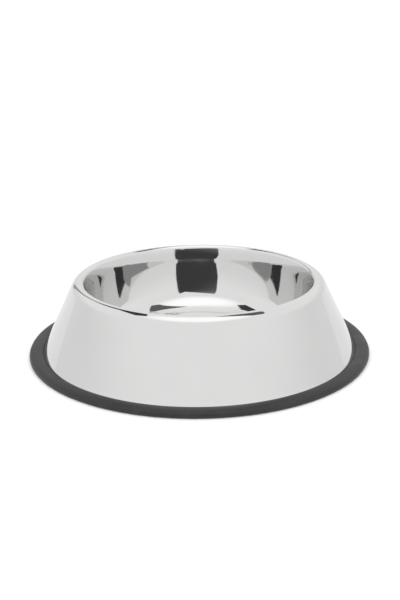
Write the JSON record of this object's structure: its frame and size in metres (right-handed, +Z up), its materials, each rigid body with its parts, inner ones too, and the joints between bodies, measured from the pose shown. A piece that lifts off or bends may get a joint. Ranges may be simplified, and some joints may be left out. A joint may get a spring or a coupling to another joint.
{
  "type": "non-tip feeding bowl",
  "caption": "Round polished steel feeding bowl with a rolled rim, a flared skirt that resists tipping and a black rubber ring round its foot.",
  "frame": {"origin": "centre of the circular face that the bowl stands on", "axes": "+Z up along the bowl's axis of revolution; X and Y are free, because the bowl is round"},
  "size_m": [0.254, 0.254, 0.0559],
  "materials": {
    "polished_steel": "mirror-polished stainless sheet, with fine turning marks on the dish floor and a duller underside",
    "black_rubber": "satin moulded black rubber"
  },
  "bodies": {
    "root": {"steel_bowl": "polished_steel", "rubber_ring": "black_rubber"}
  },
  "joints": []
}
